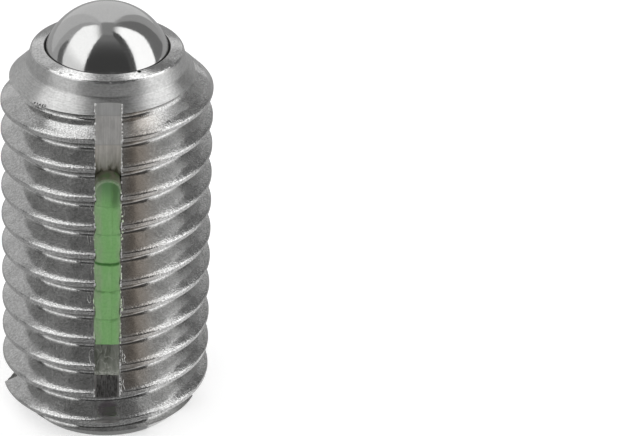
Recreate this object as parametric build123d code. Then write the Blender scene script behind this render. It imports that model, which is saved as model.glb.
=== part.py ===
from build123d import *

import os
from math import ceil, cos, radians, sin, sqrt, tan

# A ball-nosed spring plunger. It stands on its slotted end with the ball on top. The origin is the
# centre of the slotted end face, +Z runs along the body towards the ball, -Y points out through the
# lengthwise groove and X runs nearly along the slot. Lengths are in millimetres and angles in degrees.

# Threaded body, turned from one bar
body_length = 19.0
end_face_diameter = 7.12
end_cone_angle = 45.0
nose_cone_angle = 45.0
neck_height = 0.8
neck_base_diameter = 7.4
neck_top_diameter = 7.04
lip_rounding = 0.2

# Thread, right-handed. The phase is the angle at which its groove leaves through the end face
thread_diameter = 9.85
thread_pitch = 1.5
thread_angle = 60.0
crest_flat = 0.22
root_flat = 0.25
thread_phase = 65.0

# Blind bore, whose mouth is rolled in over the ball
bore_floor_height = 5.0
drill_point_angle = 118.0
drill_point_diameter = 4.0
mouth_bevel = 0.05

# Ball
ball_diameter = 6.0
ball_stand_out = 2.0
ball_clearance = 0.04

# Compression spring, closed and ground at both ends
spring_wire_diameter = 0.8
spring_clearance = 0.15
spring_active_turns = 6.0
spring_end_turns = 1.0
end_turn_gap = 0.05
spring_seat_gap = 0.02

# Driver slot across the end face
slot_width = 1.6
slot_depth = 1.8
slot_angle = -6.0

# Lengthwise groove, milled by a disc cutter that leaves it open at the nose
groove_width = 1.2
groove_floor_radius = 3.85
groove_angle = -89.0
groove_start_height = 5.3
disc_cutter_radius = 7.0

# Thread-locking strip in the groove, with a rounded upper end
strip_gap_below = 0.6
strip_gap_above = 2.4

# How far a cutting tool runs past the metal
overrun = 1.0

crest_radius = thread_diameter / 2
ball_radius = ball_diameter / 2
bore_radius = ball_radius + ball_clearance
ball_height = body_length + ball_stand_out - ball_radius
neck_base_height = body_length - neck_height
end_cone_top = (crest_radius - end_face_diameter / 2) / tan(radians(end_cone_angle))
nose_cone_height = (crest_radius - neck_base_diameter / 2) / tan(radians(nose_cone_angle))
thread_top = neck_base_height - nose_cone_height


def turned_blank():
    """The bar turned to its outline: end cone, thread diameter, nose cone, neck and rounded lip."""
    lip_side = (neck_top_diameter / 2, body_length - lip_rounding)
    lip_top = (neck_top_diameter / 2 - lip_rounding, body_length)
    lip_middle = (
        lip_top[0] + lip_rounding * sin(radians(45)),
        lip_side[1] + lip_rounding * cos(radians(45)),
    )
    side = Polyline(
        (0, 0),
        (end_face_diameter / 2, 0),
        (crest_radius, end_cone_top),
        (crest_radius, thread_top),
        (neck_base_diameter / 2, neck_base_height),
        lip_side,
    )
    lip = ThreePointArc(lip_side, lip_middle, lip_top)
    closing = Polyline(lip_top, (0, body_length), (0, 0))
    return revolve(Plane.XZ * make_face([*side.edges(), lip, *closing.edges()]), Axis.Z)


def wound_path(radius, pitch, turns):
    """A right-handed helix about +Z from +X, made of half turns or a little less."""
    steps = ceil(2 * turns)
    step_turns = turns / steps
    step = Helix(pitch, pitch * step_turns, radius)
    return Wire(
        [
            (Pos(0, 0, number * pitch * step_turns) * Rot(0, 0, number * 360 * step_turns) * step).edge()
            for number in range(steps)
        ]
    )


def thread_cut():
    """The helical cut between the ridges, with straight flanks and a narrow flat root."""
    slope = tan(radians(thread_angle / 2))
    half_mouth = (thread_pitch - crest_flat) / 2
    root_radius = crest_radius - (half_mouth - root_flat / 2) / slope
    outer_radius = crest_radius + crest_flat / 4 / slope
    outer_half = half_mouth + crest_flat / 4
    section = Polyline(
        (root_radius, root_flat / 2),
        (outer_radius, outer_half),
        (outer_radius, -outer_half),
        (root_radius, -root_flat / 2),
        close=True,
    )
    # From one turn below the end face to a turn above the thread
    turns = 2 + neck_base_height / thread_pitch
    path = wound_path((root_radius + crest_radius) / 2, thread_pitch, turns)
    cut = sweep(Plane.XZ * make_face(section), path=path, is_frenet=True)
    return Pos(0, 0, -thread_pitch) * Rot(0, 0, thread_phase) * cut


def bore_cut():
    """The blind bore with its drill point, closing over the ball to the bevelled mouth."""
    point_depth = drill_point_diameter / 2 / tan(radians(drill_point_angle / 2))
    mouth_radius = sqrt(bore_radius**2 - (body_length - ball_height) ** 2)
    straight = Pos(0, 0, bore_floor_height) * Cylinder(
        bore_radius, ball_height - bore_floor_height, align=(Align.CENTER, Align.CENTER, Align.MIN)
    )
    closing = Pos(0, 0, ball_height) * Sphere(bore_radius)
    point = Pos(0, 0, bore_floor_height) * Cone(
        0, drill_point_diameter / 2, point_depth, align=(Align.CENTER, Align.CENTER, Align.MAX)
    )
    bevel = Pos(0, 0, body_length) * Cone(
        mouth_radius,
        mouth_radius + 2 * mouth_bevel,
        2 * mouth_bevel,
        align=(Align.CENTER, Align.CENTER, Align.CENTER),
    )
    return straight + closing + point + bevel


def slot_cut():
    """The driver slot, straight across the end face."""
    length = thread_diameter + 2 * overrun
    return Pos(0, 0, slot_depth) * (
        Rot(0, 0, slot_angle)
        * Box(length, slot_width, slot_depth + overrun, align=(Align.CENTER, Align.CENTER, Align.MAX))
    )


def groove_cut():
    """The lengthwise groove: straight floor out through the nose, disc-shaped run-out below."""
    top = body_length + overrun
    straight = Pos(groove_floor_radius, 0, groove_start_height) * Box(
        crest_radius + overrun - groove_floor_radius,
        groove_width,
        top - groove_start_height,
        align=(Align.MIN, Align.CENTER, Align.MIN),
    )
    disc = Pos(groove_floor_radius + disc_cutter_radius, 0, groove_start_height) * (
        Rot(90, 0, 0) * Cylinder(disc_cutter_radius, groove_width)
    )
    return Rot(0, 0, groove_angle) * (straight + disc)


def locking_strip():
    """The strip that fills the groove, flush with the ridges and rounded at its upper end."""
    bottom = groove_start_height + strip_gap_below
    end_centre = thread_top - strip_gap_above - groove_width / 2
    thickness = crest_radius + overrun - groove_floor_radius
    straight = Pos(groove_floor_radius, 0, bottom) * Box(
        thickness, groove_width, end_centre - bottom, align=(Align.MIN, Align.CENTER, Align.MIN)
    )
    rounded = Pos(groove_floor_radius, 0, end_centre) * (
        Rot(0, 90, 0)
        * Cylinder(groove_width / 2, thickness, align=(Align.CENTER, Align.CENTER, Align.MIN))
    )
    flush = Cylinder(crest_radius, body_length, align=(Align.CENTER, Align.CENTER, Align.MIN))
    return (Rot(0, 0, groove_angle) * (straight + rounded)) & flush


def coil(turns, pitch, start_height, start_turns, coil_radius):
    """A stretch of round wire wound right-handed about the axis."""
    wire = Plane.XZ * Pos(coil_radius, 0) * Circle(spring_wire_diameter / 2)
    wound = sweep(wire, path=wound_path(coil_radius, pitch, turns), is_frenet=True)
    return Pos(0, 0, start_height) * Rot(0, 0, 360 * start_turns) * wound


def compression_spring():
    """The spring between the bore's floor and the ball, at the length it has when assembled."""
    wire_radius = spring_wire_diameter / 2
    coil_radius = bore_radius - spring_clearance - wire_radius
    reach = ball_radius + spring_seat_gap
    spring_top = ball_height - sqrt(reach**2 - (coil_radius - wire_radius) ** 2)
    end_pitch = spring_wire_diameter + end_turn_gap
    end_rise = end_pitch * spring_end_turns
    spring_length = spring_top - bore_floor_height
    active_pitch = (spring_length - 2 * end_rise) / spring_active_turns
    lower_end = coil(spring_end_turns, end_pitch, bore_floor_height, 0, coil_radius)
    middle = coil(
        spring_active_turns,
        active_pitch,
        bore_floor_height + end_rise,
        spring_end_turns,
        coil_radius,
    )
    upper_end = coil(
        spring_end_turns,
        end_pitch,
        spring_top - end_rise,
        spring_end_turns + spring_active_turns,
        coil_radius,
    )
    between_faces = Pos(0, 0, bore_floor_height) * Cylinder(
        bore_radius, spring_length, align=(Align.CENTER, Align.CENTER, Align.MIN)
    )
    return (lower_end + middle + upper_end) & between_faces


os.makedirs("parts", exist_ok=True)
threaded_body = turned_blank() - thread_cut() - groove_cut() - slot_cut() - bore_cut()
ball = Pos(0, 0, ball_height) * Sphere(ball_radius)

export_step(threaded_body, "parts/threaded_body.step")
export_step(ball, "parts/ball.step")
export_step(compression_spring(), "parts/spring.step")
export_step(locking_strip(), "parts/thread_lock_strip.step")
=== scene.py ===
"""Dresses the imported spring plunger: body, ball, spring and locking strip, with their stage.

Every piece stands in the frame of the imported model: origin at the centre of the slotted end face,
+Z towards the ball, -Y out through the lengthwise groove. The settings are in metres. The pieces
are so small that their meshes are worked in millimetres, where the cuts are exact, and brought to
metres when they are finished.
"""

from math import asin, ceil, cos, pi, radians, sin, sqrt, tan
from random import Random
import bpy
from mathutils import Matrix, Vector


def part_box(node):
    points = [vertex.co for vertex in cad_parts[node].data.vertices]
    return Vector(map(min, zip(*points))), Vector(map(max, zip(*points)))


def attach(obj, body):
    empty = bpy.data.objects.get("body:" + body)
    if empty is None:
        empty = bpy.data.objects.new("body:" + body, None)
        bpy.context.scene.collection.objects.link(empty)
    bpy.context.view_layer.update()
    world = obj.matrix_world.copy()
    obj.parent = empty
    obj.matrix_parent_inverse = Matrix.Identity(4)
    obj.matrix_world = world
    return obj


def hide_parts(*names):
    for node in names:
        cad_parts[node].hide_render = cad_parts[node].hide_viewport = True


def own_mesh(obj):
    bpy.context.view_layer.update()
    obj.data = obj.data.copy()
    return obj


bl_info = {
    "name": "Spring plunger",
    "version": (1, 0, 0),
    "blender": (4, 5, 0),
    "location": "View3D > Sidebar > Plunger",
    "description": "Models a ball-nosed spring plunger with its finishes and a studio stage",
    "category": "Mesh",
}

from types import SimpleNamespace

import bmesh
import bpy
from bpy.props import FloatProperty, FloatVectorProperty, IntProperty, PointerProperty
from mathutils import Matrix, Vector, noise

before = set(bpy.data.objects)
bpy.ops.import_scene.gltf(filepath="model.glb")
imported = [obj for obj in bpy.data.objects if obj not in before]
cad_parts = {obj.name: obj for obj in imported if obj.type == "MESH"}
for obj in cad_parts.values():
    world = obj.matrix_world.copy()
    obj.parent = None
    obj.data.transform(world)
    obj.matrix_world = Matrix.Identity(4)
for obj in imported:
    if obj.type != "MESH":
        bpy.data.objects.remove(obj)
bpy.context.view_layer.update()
BODY_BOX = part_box("threaded_body")
BALL_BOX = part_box("ball")
SPRING_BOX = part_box("spring")
STRIP_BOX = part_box("thread_lock_strip")

# Millimetres in a metre
MM = 1000
CREST_RADIUS = BODY_BOX[1].x * MM
BODY_LENGTH = BODY_BOX[1].z * MM
BALL_RADIUS = (BALL_BOX[1].z - BALL_BOX[0].z) / 2 * MM
BALL_HEIGHT = (BALL_BOX[1].z + BALL_BOX[0].z) / 2 * MM
BORE_FLOOR = SPRING_BOX[0].z * MM
SPRING_TOP = SPRING_BOX[1].z * MM
SPRING_OUTER_RADIUS = SPRING_BOX[1].x * MM
STRIP_BOTTOM = STRIP_BOX[0].z * MM
STRIP_TOP = STRIP_BOX[1].z * MM

# Radius at the bottom of the thread, where its root is rounded
THREAD_ROOT = 3.98
DRILL_POINT_ANGLE = radians(118)

# What is drawn in a little stays this far inside the solids, as a factor
INSIDE = 0.9999
# How far the cutters reach past the body, as a factor
PAST_BODY = 1.2

# The finishes of the body and of the strip, in the order of their slots
THREAD, TURNED, BORE, MILLED, BURR, SMEAR, TORN = range(7)
GREEN, PALE = range(2)

# Corners of the floor of the chip beside the slot: at the slot's wall above, on the flank, at the
# crest, at the wall below
CHIP_FLOOR = (
    (-4.43, -0.338, 1.62), (-4.21, -0.82, 1.63), (-4.85, -0.62, 1.19), (-4.81, -0.298, 1.02),
)

# The lip's sloping top, the places of a few nicks in it and of one black speck beside the ball
LIP_INNER_RADIUS = 2.93
LIP_OUTER_RADIUS = 3.5
LIP_NICKS = (
    (-1.652, -2.876, 19.0), (-2.1, -2.7, 18.98), (2.644, -2.244, 18.98), (2.35, -2.5, 19.0),
    (2.85, -2.05, 18.96),
)
LIP_SPOT = (1.46, -2.62, 19.0)

# Places of the torn burr where the first ridge runs out into the nose cone: a row of six, then two
# below it
CONE_BURRS = (
    (-3.33, -2.87, 17.5), (-3.2, -3.0, 17.5), (-3.1, -3.09, 17.53), (-2.96, -3.21, 17.53),
    (-2.82, -3.28, 17.58), (-2.74, -3.36, 17.55), (-3.26, -2.93, 17.42), (-3.02, -3.17, 17.45),
)
CONE_BURR_ROW = CONE_BURRS[:6]

# Crumbs along the strip's edges: height, distance from the groove's middle, half length, half
# thickness
STRIP_CRUMBS = (
    (14.0, 0.57, 0.12, 0.02), (13.62, 0.6, 0.08, 0.035), (13.25, 0.58, 0.18, 0.022),
    (12.95, 0.6, 0.1, 0.03), (12.71, 0.64, 0.06, 0.045), (12.45, 0.66, 0.07, 0.05),
    (12.3, 0.61, 0.04, 0.035), (12.08, 0.64, 0.1, 0.04), (11.87, 0.66, 0.05, 0.045),
    (11.7, 0.61, 0.07, 0.025), (11.53, 0.64, 0.06, 0.045), (11.1, 0.6, 0.12, 0.02),
    (9.75, 0.59, 0.1, 0.02), (9.48, 0.62, 0.17, 0.03), (9.02, 0.59, 0.06, 0.035),
    (8.7, 0.6, 0.08, 0.02), (8.1, 0.63, 0.24, 0.03), (7.72, 0.66, 0.12, 0.055),
    (7.45, 0.61, 0.08, 0.025), (7.0, 0.59, 0.1, 0.02), (6.6, 0.6, 0.12, 0.03),
    (6.25, 0.62, 0.2, 0.03), (5.98, 0.6, 0.07, 0.035),
    (13.75, -0.64, 0.06, 0.035), (12.9, -0.65, 0.12, 0.018), (12.1, -0.63, 0.07, 0.02),
    (11.5, -0.64, 0.1, 0.018), (9.9, -0.63, 0.12, 0.016), (8.2, -0.65, 0.14, 0.025),
    (7.85, -0.64, 0.08, 0.03), (6.3, -0.63, 0.25, 0.02),
)

# Fine curls of burr and plastic on the thread beside the groove, as runs of (height, distance from
# its middle)
FRINGES = (
    (
        (5.12, -0.66), (5.14, -0.72), (5.08, -0.8), (4.97, -0.84), (4.86, -0.81), (4.76, -0.76),
        (4.64, -0.7), (4.5, -0.66),
    ),
    ((12.8, -0.88), (12.75, -0.83), (12.68, -0.77), (12.6, -0.73)),
    ((11.2, -0.93), (11.08, -0.9), (10.96, -0.89)),
    ((11.16, -0.8), (11.04, -0.77)),
    (
        (8.14, -0.84), (8.1, -0.91), (8.0, -0.93), (7.92, -0.88), (7.9, -0.8), (8.0, -0.76),
        (8.1, -0.79),
    ),
    ((9.66, -0.72), (9.56, -0.76), (9.44, -0.75)),
    ((5.2, 0.68), (5.08, 0.72), (4.96, 0.69), (4.84, 0.74)),
    ((5.06, 0.76), (4.98, 0.84), (4.9, 0.79), (4.82, 0.85)),
    ((12.72, 0.7), (12.6, 0.75), (12.5, 0.72)),
    ((12.1, 0.68), (12.0, 0.75), (11.93, 0.71)),
    ((8.1, 0.7), (7.96, 0.73), (7.84, 0.7)),
    ((3.66, 0.66), (3.5, 0.69), (3.36, 0.66), (3.24, 0.7)),
    ((3.6, 0.78), (3.48, 0.74), (3.34, 0.82)),
)

# Heights on the groove's bare floor where the cutter's marks change, and the half height of each
# change
FLOOR_STEPS = (15.88, 17.38)
FLOOR_STEP_REACH = 0.04
# The plastic smeared on the groove's floor ends at this height
SMEAR_END = 3.72
# Middle of a patch of painted shade on the flank just under the groove
PAINTED_SHADE_UNDER_GROOVE = (0.12, -4.42, 2.02)

# Settings


def a_length(name, description, default):
    """A length in metres."""
    return FloatProperty(name=name, description=description, default=default, unit="LENGTH")


def an_angle(name, description, degrees):
    """An angle, with its default given in degrees."""
    default = radians(degrees)
    return FloatProperty(name=name, description=description, default=default, subtype="ANGLE")


def a_colour(name, description, default):
    """A colour."""
    return FloatVectorProperty(
        name=name, description=description, default=default, subtype="COLOR", min=0, max=1
    )


class PlungerThread(bpy.types.PropertyGroup):
    """Sizes of the thread"""

    pitch: a_length("Pitch", "Height of one turn", 0.0015)
    flank_angle: an_angle("Flank angle", "Angle between the flanks", 60)
    crest_flat: a_length("Crest flat", "Width of the ridge's flat top", 0.00022)
    crest_rounding: a_length("Crest rounding", "How far the ridge's corners are rounded", 0.00005)
    wear_depth: a_length("Wear depth", "How far down the flank the crest is worn", 0.00011)
    wear_angle: an_angle("Wear angle", "How far the worn part of the flank is bent over", 5)
    root_rounding: a_length("Root rounding", "Radius at the bottom of the thread", 0.0002)
    phase: an_angle("Phase", "Angle at which the thread's groove leaves through the end face", 65)
    segments: IntProperty(name="Segments", description="Steps in one turn", default=144, min=12)


class PlungerBlank(bpy.types.PropertyGroup):
    """Sizes of the turned outline and the bore"""

    end_face_radius: a_length("End face radius", "Radius of the flat slotted end", 0.00356)
    neck_height: a_length("Neck height", "Height of the neck under the lip's face", 0.0008)
    neck_base_radius: a_length("Neck base radius", "Radius where the neck meets the cone", 0.0037)
    neck_top_radius: a_length("Neck top radius", "Radius just under the lip", 0.00352)
    lip_slope: a_length("Lip slope", "How far the lip's top falls towards its edge", 0.0001)
    lip_rounding: a_length("Lip rounding", "Radius of the lip's outer edge", 0.0001)
    edge_break: a_length("Edge break", "Rounding of the turned corners", 0.00006)
    ball_clearance: a_length("Ball clearance", "Gap between the ball and its bore", 0.00004)
    mouth_bevel: a_length("Mouth bevel", "Bevel at the mouth round the ball", 0.00005)


class PlungerCuts(bpy.types.PropertyGroup):
    """Sizes of the driver slot and the lengthwise groove"""

    slot_width: a_length("Slot width", "Width of the driver slot", 0.0016)
    slot_depth: a_length("Slot depth", "Depth of the driver slot", 0.0018)
    slot_angle: an_angle("Slot angle", "Turn of the driver slot from +X", -6)
    groove_width: a_length("Groove width", "Width of the lengthwise groove", 0.0012)
    groove_floor: a_length("Groove floor", "Distance from the axis to the groove's floor", 0.00385)
    groove_start: a_length("Groove start", "Height where the straight floor begins", 0.0053)
    groove_angle: an_angle("Groove angle", "Where the groove lies round the axis, from +X", -89)
    disc_radius: a_length("Disc radius", "Radius of the run-out at the groove's lower end", 0.007)


class PlungerStrip(bpy.types.PropertyGroup):
    """Sizes of the thread-locking strip's surface"""

    pull_left: a_length(
        "Left gap", "How far the strip stays off the groove's left edge at a ridge", 0.00002
    )
    pull_right: a_length(
        "Right gap", "How far the strip stays off the groove's right edge at a ridge", 0.00005
    )
    swell: a_length("Swell", "How much further it reaches where the thread is low", 0.00006)
    raggedness: a_length("Raggedness", "How far its edges wander", 0.00003)
    edge_rounding: a_length("Edge rounding", "Radius along its edges", 0.00008)
    line_drop: a_length("Line drop", "How far each press line lies under its ridge", 0.00043)
    line_bow: a_length(
        "Line bow", "How far a press line rises from its middle to the groove's edge", 0.00016
    )
    line_depth: a_length("Line depth", "Depth of the press lines", 0.00004)
    line_width: a_length("Line width", "Half width of the press lines", 0.00011)


class PlungerSpring(bpy.types.PropertyGroup):
    """Sizes of the spring"""

    wire_diameter: a_length("Wire diameter", "Thickness of the round wire", 0.0008)
    end_turn_gap: a_length("End turn gap", "Gap left between the closed turns", 0.00005)
    open_turns: IntProperty(
        name="Open turns", description="Turns between the closed ends", default=6, min=1
    )


class PlungerColours(bpy.types.PropertyGroup):
    """Main colours of the pieces"""

    thread_dark: a_colour("Thread, dark", "Darker cast of the thread", (0.41, 0.41, 0.405))
    thread_light: a_colour("Thread, light", "Paler cast of the thread", (0.69, 0.69, 0.685))
    turned_dark: a_colour("Nose, dark", "Darker rings of the turned steel", (0.46, 0.46, 0.455))
    turned_light: a_colour("Nose, light", "Paler rings of the turned steel", (0.66, 0.66, 0.655))
    ball_dark: a_colour("Ball, dark", "Darker cast of the ball", (0.6, 0.6, 0.595))
    ball_light: a_colour("Ball, light", "Paler cast of the ball", (0.68, 0.68, 0.675))
    spring_dark: a_colour("Spring, dark", "Oiled parts of the wire", (0.3, 0.29, 0.27))
    spring_light: a_colour("Spring, light", "Dry parts of the wire", (0.5, 0.49, 0.47))
    strip_middle: a_colour(
        "Strip, middle", "The strip's plastic in its middle", (0.165, 0.37, 0.12)
    )
    strip_edges: a_colour("Strip, edges", "The milky plastic along its edges", (0.22, 0.31, 0.175))


class PlungerStage(bpy.types.PropertyGroup):
    """Camera and studio"""

    target_height: a_length(
        "Target height", "Height of the point on the axis that the camera circles", 0.0095
    )
    distance: a_length("Distance", "From the camera to that point", 0.166852)
    elevation: an_angle("Elevation", "How far above the horizon the camera stands", 29.525)
    aside: an_angle("Aside", "Turn of the camera to its left from that point", -3.3698)
    above: an_angle("Above", "Turn of the camera upwards from that point", 0.1381)
    roll: an_angle("Roll", "Turn of the camera about its own axis", 0.3218)
    lens: FloatProperty(
        name="Lens", description="Focal length in millimetres on a 36 mm wide sensor",
        default=202.19,
    )


# Shapes


def in_millimetres(settings):
    """A group's settings as plain values, its lengths in millimetres."""
    values = {}
    for name, setting in settings.bl_rna.properties.items():
        if name in ("rna_type", "name"):
            continue
        value = getattr(settings, name)
        if setting.type == "FLOAT" and setting.is_array:
            value = tuple(value)
        elif setting.type == "FLOAT" and setting.unit == "LENGTH":
            value *= MM
        values[name] = value
    return SimpleNamespace(**values)


def settings_of(scene, *names):
    """Some of the plunger's groups of settings, as plain values."""
    return [in_millimetres(getattr(scene, f"plunger_{name}")) for name in names]


def new_object(bm, name):
    """Turns a bmesh into an object in the scene, and frees it."""
    mesh = bpy.data.meshes.new(name)
    bm.to_mesh(mesh)
    bm.free()
    made = bpy.data.objects.new(name, mesh)
    bpy.context.scene.collection.objects.link(made)
    return made


def finish_mesh(bm, name, materials, sharp_angle=radians(32)):
    """Turns a bmesh in millimetres into a shown object with smooth faces and sharp corners."""
    if not bm.faces:
        raise RuntimeError(f"{name} has no faces")
    bmesh.ops.remove_doubles(bm, verts=bm.verts, dist=1e-5)
    bmesh.ops.dissolve_degenerate(bm, edges=bm.edges, dist=1e-5)
    bmesh.ops.scale(bm, vec=(1 / MM, 1 / MM, 1 / MM), verts=bm.verts)
    for face in bm.faces:
        face.smooth = True
    for edge in bm.edges:
        edge.smooth = not (len(edge.link_faces) == 2 and edge.calc_face_angle(0.0) > sharp_angle)
    piece = new_object(bm, name)
    for material in materials:
        piece.data.materials.append(material)
    return piece


def everything(bm):
    """All geometry of a bmesh."""
    return bm.verts[:] + bm.edges[:] + bm.faces[:]


def verts_of(result):
    """The vertices among the geometry that an operator returned."""
    return [item for item in result["geom"] if isinstance(item, bmesh.types.BMVert)]


def set_finish(bm, slot):
    """Gives every face the finish in one of the piece's slots."""
    for face in bm.faces:
        face.material_index = slot


def face_outward(bm):
    bmesh.ops.recalc_face_normals(bm, faces=bm.faces)


def turn(bm, angle, axis="Z"):
    """Turns a shape about an axis through the origin."""
    bmesh.ops.rotate(bm, cent=(0, 0, 0), matrix=Matrix.Rotation(angle, 3, axis), verts=bm.verts)


def spin(bm, geom, steps, turns=1, rise=0.0, merge=False):
    """Spins geometry round +Z with a rise in each step, and returns its last place."""
    spun = bmesh.ops.spin(
        bm, geom=geom, cent=(0, 0, 0), axis=(0, 0, 1), dvec=(0, 0, rise), angle=2 * pi * turns,
        steps=steps * turns, use_merge=merge, use_duplicate=False,
    )
    return spun["geom_last"]


def trim(bm, height, outward, dist):
    """Cuts off all that lies outward (+1 up, -1 down) of a height, and returns the cut's rim."""
    cut = bmesh.ops.bisect_plane(
        bm, geom=everything(bm), dist=dist, plane_co=(0, 0, height), plane_no=(0, 0, outward),
        clear_outer=True, clear_inner=False,
    )
    return [item for item in cut["geom_cut"] if isinstance(item, bmesh.types.BMEdge)]


def chain(bm, points):
    """A run of vertices joined by edges, from (radius, height) points."""
    verts = [bm.verts.new((radius, 0, height)) for radius, height in points]
    for pair in zip(verts, verts[1:]):
        bm.edges.new(pair)
    return verts


def round_corner(bm, vert, radius_offset, segments):
    """Rounds one corner of an outline."""
    bmesh.ops.bevel(
        bm, geom=[vert], offset=radius_offset, offset_type="OFFSET", segments=segments,
        profile=0.5, affect="VERTICES", material=-1,
    )


def threaded_rod(thread):
    """A rod with the bare thread, longer than the body at both ends."""
    bm = bmesh.new()
    half_flat = thread.crest_flat / 2
    slope = tan(thread.flank_angle / 2)
    depth = (thread.pitch / 2 - half_flat) / slope
    # Wear has bent the outer part of each flank a few degrees further over, which narrows the crest
    worn = thread.wear_depth * (tan(thread.flank_angle / 2 + thread.wear_angle) - slope)
    bend = (CREST_RADIUS - thread.wear_depth, half_flat + thread.wear_depth * slope)
    half_ridge = [(CREST_RADIUS, 0), (CREST_RADIUS, half_flat - worn), bend]
    mirrored = [(radius, thread.pitch - height) for radius, height in reversed(half_ridge)]
    verts = chain(bm, [*half_ridge, (CREST_RADIUS - depth, thread.pitch / 2), *mirrored])
    round_corner(bm, verts[3], thread.root_rounding / slope, segments=6)
    for corner in (verts[1], verts[5]):
        round_corner(bm, corner, thread.crest_rounding, segments=5)
    for corner in (verts[2], verts[4]):
        round_corner(bm, corner, thread.wear_depth * 0.9, segments=4)
    spin(bm, bm.verts[:] + bm.edges[:], thread.segments, rise=thread.pitch / thread.segments)
    one_turn = everything(bm)
    turns_below, spare_turns = 2.5, 4
    for number in range(1, ceil(BODY_LENGTH / thread.pitch) + spare_turns):
        raised = verts_of(bmesh.ops.duplicate(bm, geom=one_turn))
        bmesh.ops.translate(bm, vec=(0, 0, number * thread.pitch), verts=raised)
    bmesh.ops.remove_doubles(bm, verts=bm.verts, dist=0.001)
    # The chain starts at a ridge, half a pitch above the groove that the phase counts from
    turned = Matrix.Rotation(thread.phase, 4, "Z")
    lowered = Matrix.Translation((0, 0, -turns_below * thread.pitch))
    bmesh.ops.transform(bm, matrix=lowered @ turned, verts=bm.verts)
    margin = thread.pitch / 3
    for height, outward in ((-margin, -1), (BODY_LENGTH + margin, 1)):
        bmesh.ops.contextual_create(bm, geom=trim(bm, height, outward, dist=1e-6))
    face_outward(bm)
    set_finish(bm, THREAD)
    return bm


def turned_blank(blank, thread):
    """The outline that the lathe leaves, with its bore, wider than the thread between the cones."""
    bm = bmesh.new()
    wide = CREST_RADIUS + thread.pitch / 4
    bore = BALL_RADIUS + blank.ball_clearance
    neck_base = BODY_LENGTH - blank.neck_height
    mouth_angle = asin((BODY_LENGTH - BALL_HEIGHT) / bore)
    mouth = bore * cos(mouth_angle)
    point_radius = SPRING_OUTER_RADIUS * 0.7
    outline = [
        (0, 0),
        (blank.end_face_radius, 0),
        (wide, wide - blank.end_face_radius),
        (wide, neck_base - (wide - blank.neck_base_radius)),
        (blank.neck_base_radius, neck_base),
        (blank.neck_top_radius, BODY_LENGTH - blank.lip_slope),
        (mouth + blank.mouth_bevel, BODY_LENGTH),
        (mouth, BODY_LENGTH - blank.mouth_bevel),
    ]
    # The bore follows the ball down to its widest place
    steps = 8
    for step in range(steps - 1, -1, -1):
        angle = mouth_angle * step / steps
        outline.append((bore * cos(angle), BALL_HEIGHT + bore * sin(angle)))
    outline += [
        (bore, BORE_FLOOR),
        (point_radius, BORE_FLOOR),
        (0, BORE_FLOOR - point_radius / tan(DRILL_POINT_ANGLE / 2)),
    ]
    verts = chain(bm, outline)
    round_corner(bm, verts[5], blank.lip_rounding, segments=5)
    round_corner(bm, verts[4], blank.edge_break, segments=3)
    round_corner(bm, verts[1], blank.edge_break, segments=2)
    spin(bm, bm.verts[:] + bm.edges[:], thread.segments, merge=True)
    bmesh.ops.remove_doubles(bm, verts=bm.verts, dist=1e-5)
    face_outward(bm)
    for face in bm.faces:
        middle = face.calc_center_median()
        inside = middle.xy.length < mouth + blank.mouth_bevel and middle.z > BORE_FLOOR / 2
        face.material_index = BORE if inside else TURNED
    return bm


def slot_cutter(cuts):
    """The saw's path across the end face."""
    bm = bmesh.new()
    reach = CREST_RADIUS * PAST_BODY
    bmesh.ops.create_cube(bm, size=1)
    bmesh.ops.scale(bm, vec=(2 * reach, cuts.slot_width, 2 * cuts.slot_depth), verts=bm.verts)
    turn(bm, cuts.slot_angle)
    set_finish(bm, MILLED)
    return bm


def groove_cutter(cuts):
    """The disc cutter's path: its rim at the lower end, drawn out straight through the nose."""
    bm = bmesh.new()
    bmesh.ops.create_circle(bm, cap_ends=True, segments=128, radius=cuts.disc_radius)
    stand_up = Matrix.Rotation(pi / 2, 4, "X")
    centre = Matrix.Translation(
        (cuts.groove_floor + cuts.disc_radius, cuts.groove_width / 2, cuts.groove_start)
    )
    bmesh.ops.transform(bm, matrix=centre @ stand_up, verts=bm.verts)
    # The upper half of the disc is drawn up past the nose
    for vert in bm.verts:
        if vert.co.z > cuts.groove_start + 1e-4:
            vert.co.z = BODY_LENGTH * PAST_BODY
    bmesh.ops.remove_doubles(bm, verts=bm.verts, dist=1e-5)
    moved = verts_of(bmesh.ops.extrude_face_region(bm, geom=bm.faces[:]))
    bmesh.ops.translate(bm, vec=(0, -cuts.groove_width, 0), verts=moved)
    face_outward(bm)
    turn(bm, cuts.groove_angle)
    set_finish(bm, MILLED)
    return bm


def chip_cutter():
    """The chip missing from the lowest ridge beside the slot, as a hull over the chip's floor."""
    past_wall = Vector((0, 0.3, 0))
    up_the_wall = Vector((-0.2, 0.05, 0.35))
    up_the_flank = Vector((0, -0.45, 0.25))
    floor = [Vector(corner) for corner in CHIP_FLOOR]
    top = [
        corner + rise
        for corner, rise in zip(floor, (up_the_wall, up_the_flank, up_the_flank, up_the_wall))
    ]
    beyond = [corner + past_wall for corner in (floor[0], floor[3], top[0], top[3])]
    bm = bmesh.new()
    verts = [bm.verts.new(corner) for corner in floor + top + beyond]
    hull = bmesh.ops.convex_hull(bm, input=verts)
    inside = {*hull["geom_interior"], *hull["geom_unused"]}
    bmesh.ops.delete(bm, geom=[vert for vert in bm.verts if vert in inside], context="VERTS")
    face_outward(bm)
    set_finish(bm, TORN)
    return bm


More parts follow.
